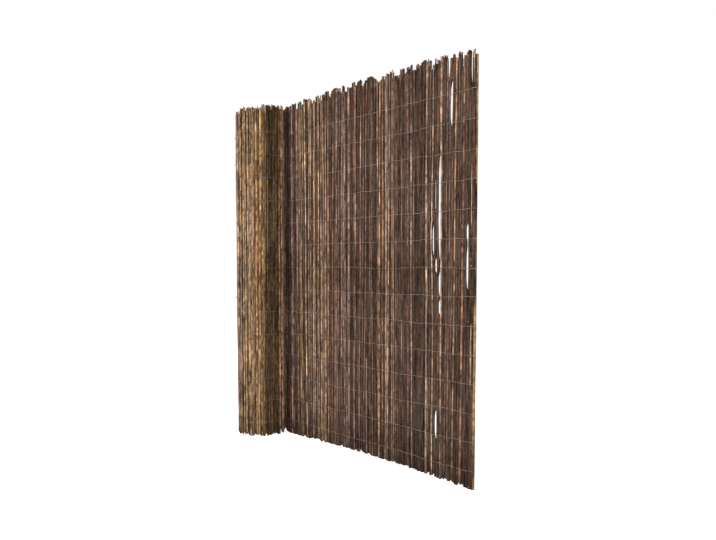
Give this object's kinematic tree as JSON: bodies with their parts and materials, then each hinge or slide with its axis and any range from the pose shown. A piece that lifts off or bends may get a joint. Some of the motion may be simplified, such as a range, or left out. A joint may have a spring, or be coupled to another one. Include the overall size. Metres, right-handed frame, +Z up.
{
  "type": "willow screening mat",
  "caption": "Willow screening mat of upright rods bound with rows of thin wire, standing as a straight panel with one end still rolled up.",
  "frame": {"origin": "centre of the bounding box's bottom, on the ground that the rods stand on", "axes": "+Z up along the rods, +X along the panel from the roll to the free edge, -Y to the front of the panel"},
  "size_m": [1.3624, 0.2392, 1.512],
  "materials": {
    "willow": "unpeeled bark, satin",
    "wire": "dull galvanised"
  },
  "bodies": {
    "root": {"willow_mat": "willow", "binding_wire_01": "wire", "binding_wire_02": "wire", "binding_wire_03": "wire", "binding_wire_04": "wire", "binding_wire_05": "wire", "binding_wire_06": "wire", "binding_wire_07": "wire", "binding_wire_08": "wire", "binding_wire_09": "wire", "binding_wire_10": "wire", "binding_wire_11": "wire", "binding_wire_12": "wire", "binding_wire_13": "wire", "binding_wire_14": "wire"}
  },
  "joints": []
}
